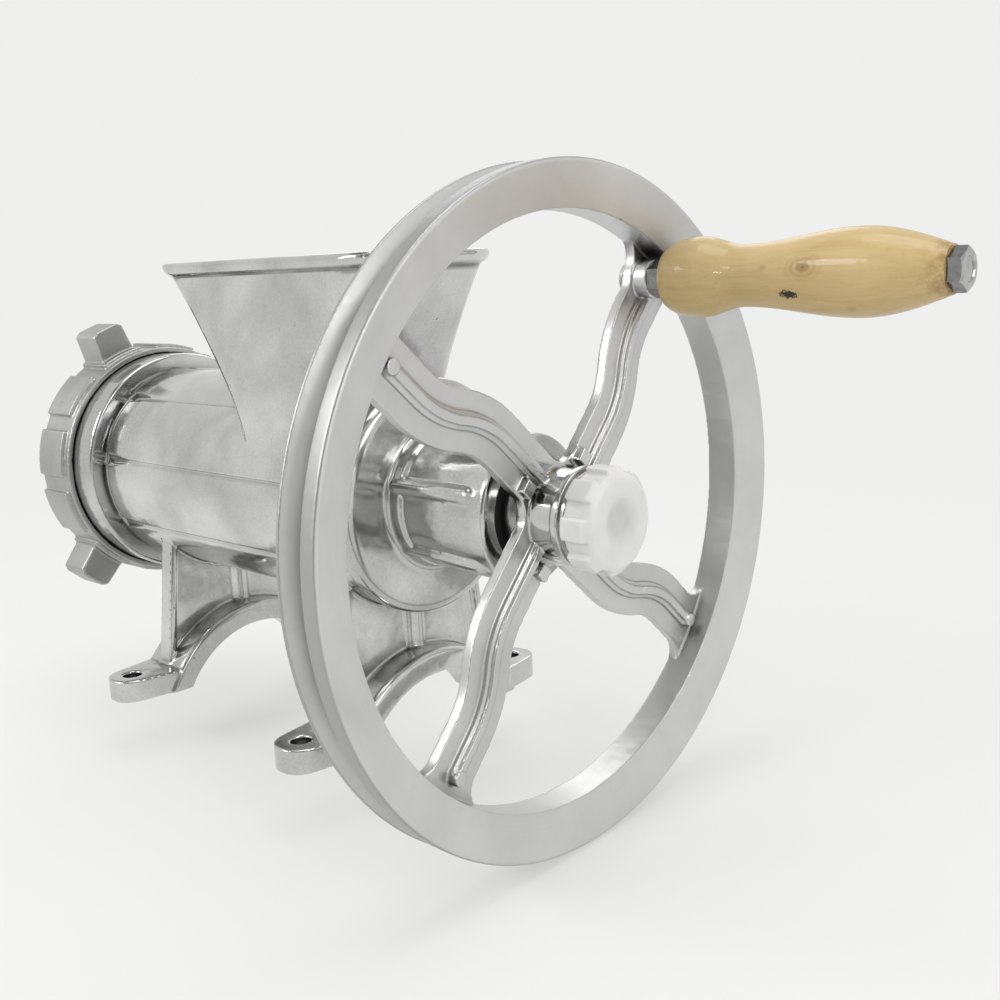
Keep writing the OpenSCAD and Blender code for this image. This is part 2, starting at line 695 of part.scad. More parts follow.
module flywheel() color("silver") {
    rib_end = rim_inner_r - boss_d/2;
    mark_d = spoke_rib_w - bevel;
    hole = drive_square + 2*seat_gap;
    difference() {
        union() {
            rim();
            on_axis(web_x) linear_extrude(spoke_t) web_plan();
            on_axis(web_front_x - bevel) each_spoke() {
                linear_extrude(bevel + spoke_rib_h/2) spoke_plan(spoke_rib_w, rib_end);
                linear_extrude(bevel + spoke_rib_h) spoke_plan(spoke_rib_w/2, rib_end);
                translate([rib_end, spoke_out, 0]) cylinder(d = mark_d, h = spoke_rib_h + 2*bevel);
                translate([hub_flange_d/2 + bevel, spoke_in + spoke_rib_w/2 + bevel, 0])
                    cube([mark_d, mark_d, spoke_rib_h + bevel]);
            }
            turned([[0, hub_rear_x], [hub_d/2 + bevel, hub_rear_x], [hub_d/2 + bevel, web_x],
                [hub_d/2, web_front_x + bevel], [hub_d/2, hub_front_x - hub_flange_t - bevel],
                [hub_flange_d/2, hub_front_x - hub_flange_t], [hub_flange_d/2, hub_front_x],
                [0, hub_front_x]]);
            at_handle() turned([[0, boss_rear_x], [boss_d/4, boss_rear_x],
                [boss_d/2 - bevel, boss_rear_x + bevel], [boss_d/2, boss_rear_x + 2*bevel],
                [boss_d/2, boss_front_x], [0, boss_front_x]]);
        }
        on_axis(hub_rear_x - past) translate([-hole/2, -hole/2, 0]) cube([hole, hole, hub_len + 2*past]);
        at_handle() rod(bolt_d + 2*seat_gap, boss_rear_x + 2*bevel, boss_front_x + past);
    }
}

// The bolt's head is bevelled all round and has a shallow dish
module handle_bolt() color("silver") at_handle() {
    flat_r = bolt_head_w/2;
    face_r = flat_r - bevel/2;
    dish_r = 2*flat_r/3;
    rod(bolt_d, boss_rear_x + 2*bevel + seat_gap, sleeve_end_x);
    difference() {
        hexagon(bolt_head_w, sleeve_end_x, bolt_end_x);
        turned([[face_r, bolt_end_x], [face_r, bolt_end_x + past], [2*flat_r, bolt_end_x + past],
            [2*flat_r, bolt_end_x - (2*flat_r - face_r)*tan(30)]]);
        turned([[0, bolt_end_x - bevel/2], [dish_r - bevel/2, bolt_end_x - bevel/2], [dish_r, bolt_end_x],
            [dish_r, bolt_end_x + past], [0, bolt_end_x + past]]);
    }
}

// The nut that locks the bolt against the boss
module handle_lock_nut() color("silver") at_handle() difference() {
    hexagon(bolt_head_w, boss_front_x, lock_front_x);
    rod(bolt_d + 2*seat_gap, boss_front_x - past, lock_front_x + past);
}

module handle_base_washer() color("silver") at_handle()
    ring(bolt_d + 2*seat_gap, base_washer_d, lock_front_x, sleeve_x);

module handle_sleeve() color("gray") at_handle()
    ring(bolt_d + 2*seat_gap, sleeve_d, sleeve_x, sleeve_end_x);

// The grip's radius at a share of its length: a foot that swells, a waist, a second swell and a round end
low_at = 0.13;
waist_at = 0.295;
high_at = 0.715;
function ease(from, to, share) = from + (to - from)*(1 - cos(180*share))/2;
function grip_d(s) =
    s < low_at ? grip_foot_d + (grip_low_d - grip_foot_d)*sqrt(1 - pow(1 - s/low_at, 2)) :
    s < waist_at ? ease(grip_low_d, grip_waist_d, (s - low_at)/(waist_at - low_at)) :
    s < high_at ? ease(grip_waist_d, grip_high_d, (s - waist_at)/(high_at - waist_at)) :
    grip_end_d + (grip_high_d - grip_end_d)*cos(90*(s - high_at)/(1 - high_at));
grip_steps = 36;

module handle_grip() color("burlywood") at_handle() difference() {
    turned(concat([[0, grip_x]],
        [for (i = [0:grip_steps]) let (s = pow(i/grip_steps, 1.3)) [grip_d(s)/2, grip_x + s*grip_len]],
        [[0, grip_end_x]]));
    rod(sleeve_d + 2*run_gap, grip_x - past, grip_end_x + past);
}

module hub_washer() color("silver")
    ring(thread_d + 2*move_gap, washer_d, hub_front_x + run_gap, hub_front_x + run_gap + washer_t);

// A hand nut with broad lobes and a dished face, closed over the end of the shaft
module hub_nut() color("white") {
    r = nut_d/2;
    core_r = r - nut_lobe_h;
    end_x = nut_x + nut_len;
    taper = 2*nut_lobe_h;
    difference() {
        intersection() {
            on_axis(nut_x) linear_extrude(nut_len) {
                circle(r = core_r);
                intersection() {
                    circle(r = r);
                    for (i = [0:nut_lobes - 1]) rotate(i*360/nut_lobes)
                        wedge(360*nut_lobe_part/nut_lobes, 2*r);
                }
            }
            turned([[0, nut_x - past], [r + past, nut_x - past], [r + past, end_x - taper],
                [core_r - taper/2, end_x], [0, end_x]]);
        }
        turned([[0, end_x - nut_dish], [nut_dish_d/4, end_x - nut_dish], [nut_dish_d/2, end_x],
            [nut_dish_d/2, end_x + past], [0, end_x + past]]);
        rod(thread_d + 2*move_gap, nut_x - past, thread_end_x + bevel);
    }
}

// The plate's holes lie in rings between its middle hole and the ring nut's lip
module grinding_plate() color("silver") {
    first_r = stud_pin_d/2 + plate_hole_d/2 + 3*bevel;
    last_r = ring_mouth_d/2 - plate_hole_d/2 - 2*bevel;
    web = 2*bevel;
    difference() {
        ring(stud_pin_d + 2*move_gap, plate_d, plate_front_x, plate_rear_x);
        for (k = [0:plate_rings - 1]) {
            r = first_r + (last_r - first_r)*k/(plate_rings - 1);
            n = floor(2*PI*r/(plate_hole_d + web));
            for (i = [0:n - 1]) on_axis(plate_front_x - past) rotate(i*360/n) translate([r, 0, 0])
                cylinder(d = plate_hole_d, h = plate_t + 2*past, $fn = 32);
        }
        plate_key_place() rod(key_d + 2*move_gap, plate_front_x - past, plate_rear_x + past);
    }
}

// The ring nut has a lip over the plate, shallow lands round it and lugs to turn it by
module ring_nut() color("darkgray") difference() {
    lug_root = ring_bore_r + land_h;
    lug_chamfer = 2*bevel;
    union() {
        rod(2*ring_core_r, ring_front_x, ring_rear_x);
        on_axis(ring_front_x) linear_extrude(ring_w - 2*land_h) intersection() {
            circle(d = ring_d);
            for (i = [0:land_n - 1]) rotate(lug_deg + i*360/land_n) wedge(360*land_part/land_n, ring_d);
        }
        for (i = [0:lug_n - 1]) on_axis(ring_front_x) rotate(lug_deg + i*360/lug_n)
            linear_extrude(lug_l) polygon([
                [lug_root, -lug_w/2], [lug_r - lug_chamfer, -lug_w/2 + bevel],
                [lug_r, -lug_w/2 + 2*lug_chamfer], [lug_r, lug_w/2 - 2*lug_chamfer],
                [lug_r - lug_chamfer, lug_w/2 - bevel], [lug_root, lug_w/2]]);
    }
    turned([[0, ring_front_x - past], [ring_mouth_d/2, ring_front_x - past],
        [ring_mouth_d/2, ring_front_x + ring_lip], [ring_bore_r, ring_front_x + ring_lip],
        [ring_bore_r, ring_rear_x + past], [0, ring_rear_x + past]]);
}

body_casting();
neck_bush();
neck_seal();
plate_key();
feed_screw();
knife_stud();
drive_shaft();
shaft_pin();
thrust_washer();
knife();
flywheel();
handle_bolt();
handle_lock_nut();
handle_base_washer();
handle_sleeve();
handle_grip();
hub_washer();
hub_nut();
grinding_plate();
ring_nut();
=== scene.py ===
"""Looks of a large hand-cranked meat grinder: finishes, soft edges, threads, studio and camera."""

import json
import math

import bpy
from mathutils import Matrix, Vector


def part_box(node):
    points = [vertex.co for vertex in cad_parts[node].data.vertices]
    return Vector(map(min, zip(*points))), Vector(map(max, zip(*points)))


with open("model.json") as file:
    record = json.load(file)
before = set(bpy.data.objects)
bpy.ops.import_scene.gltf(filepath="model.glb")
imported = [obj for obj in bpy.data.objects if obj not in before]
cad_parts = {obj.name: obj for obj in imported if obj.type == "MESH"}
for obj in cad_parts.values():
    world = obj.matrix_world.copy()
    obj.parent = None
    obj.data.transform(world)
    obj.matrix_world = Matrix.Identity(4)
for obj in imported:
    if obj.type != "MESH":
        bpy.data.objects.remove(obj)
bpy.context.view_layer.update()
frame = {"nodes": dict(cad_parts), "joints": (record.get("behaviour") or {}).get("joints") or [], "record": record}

MM = 0.001

# Places on the solids: the axis of the crank, then radii and stations that the finishes follow
AXIS_Z = next(j["pos_m"][2] for j in frame["joints"] if j["name"] == "crank_spin")
RIM_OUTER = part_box("flywheel")[1].y
RIM_INNER = RIM_OUTER - 18.5 * MM
GROOVE_FLOOR = RIM_OUTER - 9.0 * MM
HUB_OUTER = 24.0 * MM
SHAFT_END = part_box("drive_shaft")[1].x
LIP_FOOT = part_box("body_casting")[1].z - 7.0 * MM
GRIP_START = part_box("handle_grip")[0].x
GRIP_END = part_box("handle_grip")[1].x


# Node trees

def add(tree, kind, inputs=None, **settings):
    """Adds a node. Each input is either a socket to join or a value to set."""
    made = tree.nodes.new("ShaderNode" + kind)
    for key, value in settings.items():
        setattr(made, key, value)
    for key, value in (inputs or {}).items():
        if isinstance(value, bpy.types.NodeSocket):
            tree.links.new(value, made.inputs[key])
        else:
            made.inputs[key].default_value = value
    return made


def new_material(name):
    """A material with a bare principled shader, its tree and its object coordinates."""
    material = bpy.data.materials.new(name)
    material.use_nodes = True
    tree = material.node_tree
    tree.nodes.clear()
    shader = add(tree, "BsdfPrincipled")
    add(tree, "OutputMaterial", {"Surface": shader.outputs["BSDF"]})
    place = add(tree, "TexCoord").outputs["Object"]
    return material, tree, shader, place


def noise(tree, place, scale, detail=3.0, rough=0.55, distort=0.0):
    """A soft noise from 0 to 1, with a scale in lumps per metre."""
    made = add(tree, "TexNoise", {"Vector": place, "Scale": scale, "Detail": detail, "Roughness": rough,
                                  "Distortion": distort})
    return made.outputs["Fac"]


def spread(tree, value, low, high, start=0.3, end=0.7):
    """Maps a value between start and end to a number between low and high."""
    made = add(tree, "MapRange", {"Value": value, "From Min": start, "From Max": end,
                                  "To Min": low, "To Max": high})
    return made.outputs["Result"]


def maths(tree, operation, a, b=0.0):
    """One arithmetic step on two numbers or sockets."""
    made = add(tree, "Math", {0: a, 1: b}, operation=operation)
    return made.outputs[0]


def times(tree, a, b):
    """The product of two numbers or sockets."""
    return maths(tree, "MULTIPLY", a, b)


def part(tree, vector, axis):
    """One part of a vector, by its letter."""
    return add(tree, "SeparateXYZ", {"Vector": vector}).outputs[axis]


def facing(tree, axis):
    """How far the surface faces along one of the object's axes, from -1 to 1."""
    return part(tree, add(tree, "TexCoord").outputs["Normal"], axis)


def colours(tree, share, *stops):
    """A colour ramp over a share, from pairs of place and linear colour."""
    made = add(tree, "ValToRGB", {"Fac": share})
    ramp = made.color_ramp
    while len(ramp.elements) < len(stops):
        ramp.elements.new(1.0)
    for element, (place, colour) in zip(ramp.elements, stops):
        element.position = place
        element.color = (*colour, 1.0)
    return made.outputs["Color"]


def blend_colour(tree, share, a, b):
    """Mixes two linear colours or sockets."""
    made = add(tree, "Mix", data_type="RGBA")
    for key, value in (("Factor", share), ("A", a), ("B", b)):
        socket = next(s for s in made.inputs if s.name == key and s.enabled)
        if isinstance(value, bpy.types.NodeSocket):
            tree.links.new(value, socket)
        else:
            socket.default_value = (*value, 1.0) if key != "Factor" else value
    return next(s for s in made.outputs if s.enabled)


def bumps(tree, shader, *layers):
    """Stacks bump layers, each a height from 0 to 1 and a depth in metres, onto the shader."""
    normal = None
    for height, depth in layers:
        inputs = {"Height": height, "Strength": 1.0, "Distance": depth}
        if normal is not None:
            inputs["Normal"] = normal
        normal = add(tree, "Bump", inputs).outputs["Normal"]
    tree.links.new(normal, shader.inputs["Normal"])


def grey(level):
    """A neutral linear colour."""
    return (level, level, level * 0.995)


def specks(tree, place, per_metre, size, kept):
    """A mask of scattered specks: cells per metre, size as a share of a cell, and share that is kept."""
    cells = add(tree, "TexVoronoi", {"Vector": place, "Scale": per_metre})
    near = spread(tree, cells.outputs["Distance"], 1.0, 0.0, size * 0.4, size)
    pick = add(tree, "SeparateColor", {"Color": cells.outputs["Color"]}).outputs["Red"]
    return times(tree, near, spread(tree, pick, 0.0, 1.0, 1.0 - kept, 1.02 - kept))


def worn_and_highlit_edges(tree, place, sharp):
    """A mask of the outer edges, broken up by handling, which marks both their wear and their painted highlight,
    with sharp as the bend that counts as one.
    """
    bend = add(tree, "NewGeometry").outputs["Pointiness"]
    edge_wear_and_highlight = spread(tree, bend, 0.0, 1.0, 0.5 + sharp * 0.35, 0.5 + sharp)
    return times(tree, edge_wear_and_highlight, spread(tree, noise(tree, place, 350.0, 3.0, 0.6), 0.35, 1.0))


def painted_crease_shade(tree, sharp):
    """A mask of the narrow inner corners, where painted shade goes, with sharp as the bend that counts as one."""
    bend = add(tree, "NewGeometry").outputs["Pointiness"]
    return spread(tree, bend, 1.0, 0.0, 0.5 - sharp, 0.5 - sharp * 0.35)


def painted_corner_shade(tree, reach):
    """A mask for painted shade, from ambient occlusion: 1 in the open, falling in corners nearer than a distance.
    """
    made = add(tree, "AmbientOcclusion", {"Distance": reach}, samples=6, only_local=True)
    return spread(tree, made.outputs["AO"], 0.0, 1.0, 0.25, 0.85)


def about_axis(tree, place):
    """Distance from the grinder's axis, turn about it from -0.5 to 0.5, and station along it."""
    parts = add(tree, "SeparateXYZ", {"Vector": place})
    lift = maths(tree, "SUBTRACT", parts.outputs["Z"], AXIS_Z)
    squares = maths(tree, "ADD", maths(tree, "POWER", parts.outputs["Y"], 2.0),
                    maths(tree, "POWER", lift, 2.0))
    turn = maths(tree, "DIVIDE", maths(tree, "ARCTAN2", lift, parts.outputs["Y"]), 2.0 * math.pi)
    return maths(tree, "SQRT", squares), turn, parts.outputs["X"]


# Finishes

# Depth of the castings' pits and nicks
PIT_DEPTH = 0.12 * MM


def painted_shadow_under_lip(tree, place):
    """A mask of the band below the hopper's lip on the outside, on faces that point down, where a shadow is
    painted.
    """
    height = part(tree, place, "Z")
    band = times(tree, spread(tree, height, 0.0, 1.0, LIP_FOOT - 2.0 * MM, LIP_FOOT),
                 spread(tree, height, 1.0, 0.0, LIP_FOOT + 1.0 * MM, LIP_FOOT + 2.5 * MM))
    return times(tree, band, spread(tree, facing(tree, "Z"), 1.0, 0.0, -0.15, 0.0))


def cast_metal(name, light, dark, rough, wave_depth, grain_depth):
    """Cast and polished light metal: cloudy, with slow waves and pits, painted highlights on its worn edges,
    painted shade in its corners and a painted shadow under the hopper's lip.
    """
    material, tree, shader, place = new_material(name)
    cloud = noise(tree, place, 24.0, 3.0, 0.5, 0.3)
    fine = noise(tree, place, 900.0, 3.0, 0.6)
    tone = maths(tree, "ADD", times(tree, cloud, 0.75), times(tree, fine, 0.25))
    colour = colours(tree, tone, (0.36, grey(dark)), (0.64, grey(light)))
    # Painted shade: darker in corners and recesses.
    colour = blend_colour(tree, painted_corner_shade(tree, 9.0 * MM), grey(dark * 0.34), colour)
    # Painted shade: a dark line along the narrow inner corners.
    colour = blend_colour(tree, times(tree, painted_crease_shade(tree, 0.05), 0.85), colour, grey(dark * 0.16))
    edge_wear_and_highlight = worn_and_highlit_edges(tree, place, 0.10)
    # Painted highlight: the worn outer edges are lightened.
    colour = blend_colour(tree, times(tree, edge_wear_and_highlight, 0.7), colour, grey(0.90))
    pits = specks(tree, place, 95.0, 0.07, 0.30)
    colour = blend_colour(tree, times(tree, pits, 0.75), colour, grey(dark * 0.25))
    smear = noise(tree, place, 120.0, 4.0, 0.65, 1.2)
    # Painted shadow: a dark band under the hopper's lip, broken up by the cloud.
    under = times(tree, painted_shadow_under_lip(tree, place), spread(tree, cloud, 0.35, 1.0, 0.35, 0.60))
    colour = blend_colour(tree, times(tree, under, 0.8), colour, grey(dark * 0.12))
    gloss = spread(tree, smear, rough - 0.06, rough + 0.06)
    lip_gloss = spread(tree, part(tree, place, "Z"), 1.0, 0.35, LIP_FOOT - 1.0 * MM, LIP_FOOT)
    gloss = times(tree, gloss, lip_gloss)
    wave = noise(tree, place, 55.0, 2.0, 0.45)
    grain = noise(tree, place, 1400.0, 2.0, 0.6)
    shader.inputs["Metallic"].default_value = 1.0
    tree.links.new(colour, shader.inputs["Base Color"])
    tree.links.new(maths(tree, "SUBTRACT", gloss, times(tree, edge_wear_and_highlight, 0.06)), shader.inputs["Roughness"])
    whole = maths(tree, "SUBTRACT", 1.0, pits)
    bumps(tree, shader, (wave, wave_depth), (grain, grain_depth), (whole, PIT_DEPTH))
    return material


def wheel_metal(name, light, dark, polished, satin):
    """A casting with a polished hub, satin spokes and a rim faced on a lathe, with nicked edges that carry painted
    highlights, painted shade in its corners and on the rim's groove and outer band.
    """
    material, tree, shader, place = new_material(name)
    radius, _, along = about_axis(tree, place)
    face = times(tree, spread(tree, facing(tree, "X"), 0.0, 1.0, 0.70, 0.90),
                 maths(tree, "GREATER_THAN", radius, RIM_INNER))
    ring_place = add(tree, "CombineXYZ", {"X": radius, "Y": along, "Z": 0.0}).outputs["Vector"]
    rings = noise(tree, ring_place, 1500.0, 2.0, 0.6)
    cloud = noise(tree, place, 22.0, 4.0, 0.55, 0.5)
    scuff = noise(tree, place, 260.0, 4.0, 0.7, 1.5)
    tone = maths(tree, "ADD", times(tree, cloud, 0.85), times(tree, rings, 0.15))
    colour = colours(tree, tone, (0.30, grey(dark)), (0.70, grey(light)))
    groove = times(tree, maths(tree, "GREATER_THAN", radius, GROOVE_FLOOR),
                   maths(tree, "SUBTRACT", 1.0, face))
    # Painted shade: the groove and the rim's outer band are darkened.
    colour = blend_colour(tree, times(tree, groove, 0.8), colour, grey(dark * 0.70))
    # Painted shade: darker in corners and recesses.
    colour = blend_colour(tree, painted_corner_shade(tree, 7.0 * MM), grey(dark * 0.35), colour)
    # Painted shade: a dark line along the narrow inner corners.
    colour = blend_colour(tree, times(tree, painted_crease_shade(tree, 0.10), 0.85), colour, grey(dark * 0.16))
    edge_wear_and_highlight = worn_and_highlit_edges(tree, place, 0.08)
    # Painted highlight: the worn outer edges are lightened.
    colour = blend_colour(tree, times(tree, edge_wear_and_highlight, 0.85), colour, grey(0.93))
    nicks = specks(tree, place, 260.0, 0.18, 0.5)
    nicks = times(tree, nicks, maths(tree, "GREATER_THAN", edge_wear_and_highlight, 0.12))
    colour = blend_colour(tree, times(tree, nicks, 0.8), colour, grey(dark * 0.25))
    gloss = spread(tree, radius, polished, polished + 0.21, HUB_OUTER, HUB_OUTER + 9.0 * MM)
    gloss = maths(tree, "ADD", gloss, times(tree, groove, 0.10))
    gloss = maths(tree, "MAXIMUM", gloss, times(tree, face, satin))
    gloss = maths(tree, "ADD", gloss, spread(tree, scuff, -0.04, 0.05))
    wave = noise(tree, place, 60.0, 2.0, 0.45)
    calm = times(tree, wave, maths(tree, "SUBTRACT", 1.0, times(tree, face, 0.7)))
    tree.links.new(spread(tree, face, 1.0, 0.5, 0.0, 1.0), shader.inputs["Metallic"])
    tree.links.new(colour, shader.inputs["Base Color"])
    tree.links.new(maths(tree, "SUBTRACT", gloss, times(tree, edge_wear_and_highlight, 0.06)), shader.inputs["Roughness"])
    whole = maths(tree, "SUBTRACT", 1.0, nicks)
    bumps(tree, shader, (calm, 0.28 * MM), (rings, 0.002 * MM), (whole, PIT_DEPTH))
    return material


def ground_steel(name, level, rough):
    """Bright ground steel with faint streaks along the axis and painted shade in its corners."""
    material, tree, shader, place = new_material(name)
    stretched = add(tree, "Mapping", {"Vector": place, "Scale": (0.08, 1.0, 1.0)}).outputs["Vector"]
    streak = noise(tree, stretched, 1800.0, 2.0, 0.6)
    cloud = noise(tree, place, 60.0, 3.0, 0.6)
    colour = colours(tree, cloud, (0.3, grey(level * 0.88)), (0.7, grey(level)))
    # Painted shade: darker in corners and recesses.
    colour = blend_colour(tree, painted_corner_shade(tree, 5.0 * MM), grey(level * 0.40), colour)
    shader.inputs["Metallic"].default_value = 1.0
    tree.links.new(colour, shader.inputs["Base Color"])
    tree.links.new(spread(tree, streak, rough - 0.05, rough + 0.05), shader.inputs["Roughness"])
    bumps(tree, shader, (streak, 0.008 * MM))
    return material


def bright_plate(name):
    """Chrome plating with a few faint smears, with painted shade that makes the flats darker than the end faces,
    and painted shade in its corners.
    """
    material, tree, shader, place = new_material(name)
    smear = noise(tree, place, 220.0, 3.0, 0.6, 1.0)
    ends = colours(tree, smear, (0.3, grey(0.36)), (0.7, grey(0.54)))
    # Painted shade: faces that don't face along the axis, such as the flats, are darker than the end faces.
    flats = colours(tree, smear, (0.3, grey(0.17)), (0.7, grey(0.30)))
    colour = blend_colour(tree, spread(tree, facing(tree, "X"), 0.0, 1.0, 0.30, 0.80), flats, ends)
    # Painted shade: darker in corners.
    colour = blend_colour(tree, painted_corner_shade(tree, 3.0 * MM), grey(0.10), colour)
    shader.inputs["Metallic"].default_value = 1.0
    tree.links.new(colour, shader.inputs["Base Color"])
    tree.links.new(spread(tree, smear, 0.05, 0.13), shader.inputs["Roughness"])
    bumps(tree, shader, (noise(tree, place, 500.0), 0.01 * MM))
    return material


def black_plastic(name):
    """Matte black plastic with a fine grain."""
    material, tree, shader, place = new_material(name)
    grain = noise(tree, place, 1500.0, 2.0, 0.6)
    tree.links.new(colours(tree, grain, (0.3, grey(0.010)), (0.7, grey(0.022))), shader.inputs["Base Color"])
    tree.links.new(spread(tree, grain, 0.42, 0.58), shader.inputs["Roughness"])
    bumps(tree, shader, (grain, 0.02 * MM))
    return material


def milky_plastic(name):
    """White plastic that lets some light in, with a soft gloss and painted shade in the dish at its middle."""
    material, tree, shader, place = new_material(name)
    cloud = noise(tree, place, 120.0, 3.0, 0.55)
    colour = colours(tree, cloud, (0.3, (0.70, 0.70, 0.685)), (0.7, (0.76, 0.76, 0.745)))
    radius, _, along = about_axis(tree, place)
    # Painted shade: a darker disc in the middle of the nut's front, where its dish is.
    middle = times(tree, spread(tree, radius, 1.0, 0.0, 5.0 * MM, 12.0 * MM),
                   maths(tree, "GREATER_THAN", along, SHAFT_END))
    colour = blend_colour(tree, times(tree, middle, 0.55), colour, (0.52, 0.52, 0.515))
    tree.links.new(colour, shader.inputs["Base Color"])
    tree.links.new(spread(tree, cloud, 0.30, 0.42), shader.inputs["Roughness"])
    shader.inputs["Subsurface Weight"].default_value = 0.6
    shader.inputs["Subsurface Radius"].default_value = (1.0, 1.0, 1.0)
    shader.inputs["Subsurface Scale"].default_value = 5.0 * MM
    bumps(tree, shader, (noise(tree, place, 700.0), 0.02 * MM))
    return material


# Places on the grip's wood: a knot, a bark pocket and three small pin knots
KNOT = (0.2395, 0.0449, 0.1989)
BARK = (0.2325, 0.0475, 0.1891)
PIN_KNOTS = ((0.2218, 0.0475, 0.1992), (0.2566, 0.0494, 0.1836), (0.2620, 0.0690, 0.2090))


def from_point(tree, place, point, squeeze=1.0):
    """Distance from a point, with distances along the handle scaled."""
    gap = add(tree, "VectorMath", {0: place, 1: point}, operation="SUBTRACT").outputs["Vector"]
    gap = add(tree, "VectorMath", {0: gap, 1: (squeeze, 1.0, 1.0)}, operation="MULTIPLY").outputs["Vector"]
    return add(tree, "VectorMath", {0: gap}, operation="LENGTH").outputs["Value"]


def lacquered_wood(name):
    """Pale turned wood under clear lacquer: grain along the handle, a ringed knot and small dark marks."""
    material, tree, shader, place = new_material(name)
    stretched = add(tree, "Mapping", {"Vector": place, "Scale": (0.07, 1.0, 1.0)}).outputs["Vector"]
    grain = noise(tree, stretched, 420.0, 4.0, 0.62, 0.8)
    pores = noise(tree, stretched, 2600.0, 2.0, 0.7)
    cloud = noise(tree, place, 30.0, 3.0, 0.5)
    ragged = noise(tree, place, 900.0, 3.0, 0.65)
    tone = maths(tree, "ADD", times(tree, grain, 0.50), times(tree, cloud, 0.50))
    wood = colours(tree, tone, (0.28, (0.40, 0.275, 0.108)), (0.46, (0.50, 0.365, 0.163)),
                   (0.72, (0.58, 0.44, 0.213)))
    wood = blend_colour(tree, spread(tree, pores, 0.0, 0.26, 0.56, 0.75), wood, (0.33, 0.20, 0.075))
    along = part(tree, place, "X")
    ends = maths(tree, "MAXIMUM", spread(tree, along, 0.0, 1.0, GRIP_END - 9.0 * MM, GRIP_END),
                 spread(tree, along, 1.0, 0.0, GRIP_START, GRIP_START + 6.0 * MM))
    # The wood is darker in ragged patches towards both ends of the grip.
    end_darkening = times(tree, ends, spread(tree, noise(tree, place, 260.0, 4.0, 0.65), 0.0, 1.0, 0.42, 0.62))
    wood = blend_colour(tree, times(tree, end_darkening, 0.7), wood, (0.24, 0.13, 0.045))
    away = maths(tree, "ADD", from_point(tree, place, KNOT, 0.62), times(tree, ragged, 1.2 * MM))
    rings = maths(tree, "SINE", maths(tree, "DIVIDE", away, 0.27 * MM))
    ringed = times(tree, spread(tree, away, 1.0, 0.0, 1.5 * MM, 6.5 * MM),
                   spread(tree, rings, 0.25, 0.95, -1.0, 1.0))
    wood = blend_colour(tree, ringed, wood, (0.36, 0.22, 0.085))
    wood = blend_colour(tree, spread(tree, away, 0.85, 0.0, 0.8 * MM, 2.4 * MM), wood, (0.20, 0.11, 0.045))
    for point in PIN_KNOTS:
        pin = maths(tree, "ADD", from_point(tree, place, point, 0.7), times(tree, ragged, 1.0 * MM))
        wood = blend_colour(tree, spread(tree, pin, 0.5, 0.0, 0.8 * MM, 2.2 * MM), wood, (0.34, 0.21, 0.09))
    bark = maths(tree, "ADD", from_point(tree, place, BARK, 0.48), times(tree, ragged, 5.0 * MM))
    wood = blend_colour(tree, spread(tree, bark, 0.97, 0.0, 3.9 * MM, 4.5 * MM), wood, (0.022, 0.014, 0.012))
    tree.links.new(wood, shader.inputs["Base Color"])
    tree.links.new(spread(tree, cloud, 0.40, 0.52), shader.inputs["Roughness"])
    shader.inputs["Specular IOR Level"].default_value = 0.3
    shader.inputs["Coat Weight"].default_value = 0.35
    shader.inputs["Coat Roughness"].default_value = 0.06
    hollow = spread(tree, bark, 0.0, 1.0, 3.9 * MM, 4.5 * MM)
    bumps(tree, shader, (grain, 0.05 * MM), (pores, 0.015 * MM), (hollow, 0.1 * MM))
    return material


FINISH = {
    "cast_aluminium": cast_metal("cast_aluminium", light=0.69, dark=0.46, rough=0.16,
                                 wave_depth=0.45 * MM, grain_depth=0.006 * MM),
    "wheel_aluminium": wheel_metal("wheel_aluminium", light=0.64, dark=0.53, polished=0.14, satin=0.40),
    "ring_aluminium": cast_metal("ring_aluminium", light=0.52, dark=0.40, rough=0.42,
                                 wave_depth=0.20 * MM, grain_depth=0.04 * MM),
    "steel": ground_steel("ground_steel", level=0.60, rough=0.21),
    "chrome": bright_plate("chrome"),
    "black_plastic": black_plastic("black_plastic"),
    "white_plastic": milky_plastic("milky_plastic"),
    "wood": lacquered_wood("lacquered_wood"),
}

# Surfaces of the solids

# Voxel size, smoothing passes and share of faces kept of the pieces with soft edges or threads
SOFTENED = {
    "body_casting": (0.6 * MM, 8, 0.12),
    "flywheel": (0.5 * MM, 3, 0.18),
    "ring_nut": (0.6 * MM, 5, 0.4),
    "hub_nut": (0.5 * MM, 9, 0.8),
    "drive_shaft": (0.35 * MM, 4, 0.10),
}

# Screw threads: pitch, depth, stations that they run between, and the radius outside which they are cut
THREADS = {
    "body_casting": (4.0 * MM, 1.3 * MM, (-0.1425, -0.1205), 0.0570),
    "drive_shaft": (2.5 * MM, 0.9 * MM, (0.1740, SHAFT_END), 0.0080),
}


